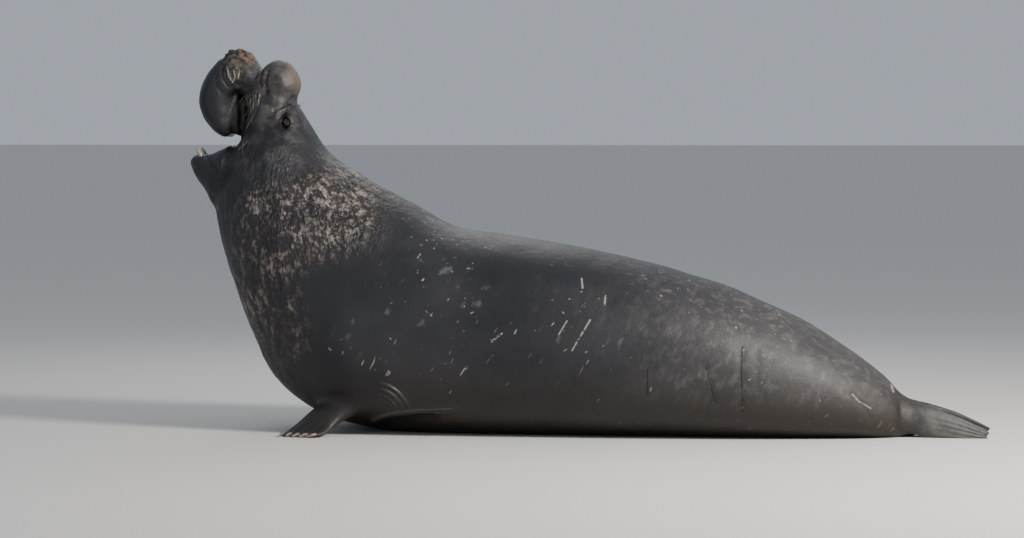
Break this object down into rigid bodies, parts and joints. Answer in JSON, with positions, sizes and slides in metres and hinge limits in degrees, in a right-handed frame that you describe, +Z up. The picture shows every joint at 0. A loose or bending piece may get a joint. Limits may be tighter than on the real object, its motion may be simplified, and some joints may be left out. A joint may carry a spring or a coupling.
{
  "type": "elephant seal figure",
  "caption": "Life-size elephant seal bull resting on its belly and foreflippers, chest raised, head thrown back, mouth open under its folded nose.",
  "frame": {"origin": "on the floor, at the middle of the animal's length and width", "axes": "+X towards the hind flippers, -X towards the head, +Z up, the animal's left side at -Y"},
  "size_m": [3.9416, 1.2476, 1.8684],
  "materials": {
    "skin": "short wet hair over thick skin",
    "shield_skin": "rough, scarred hide",
    "flipper_skin": "bare creased skin",
    "claw": "horn",
    "eye": "wet and glossy",
    "ivory": "stained ivory",
    "mouth": "wet"
  },
  "bodies": {
    "root": {"head": "skin", "nose": "skin", "lower_jaw": "skin", "tongue": "mouth", "canine_left": "ivory", "canine_right": "ivory", "eye_left": "eye", "eye_right": "eye", "neck": "shield_skin", "chest": "shield_skin", "belly": "skin", "hips": "skin", "tail": "skin", "foreflipper_left": "flipper_skin", "foreflipper_right": "flipper_skin", "hind_flipper_left": "flipper_skin", "hind_flipper_right": "flipper_skin", "claw_left_1": "claw", "claw_left_2": "claw", "claw_left_3": "claw", "claw_left_4": "claw", "claw_left_5": "claw", "claw_right_1": "claw", "claw_right_2": "claw", "claw_right_3": "claw", "claw_right_4": "claw", "claw_right_5": "claw"}
  },
  "joints": []
}
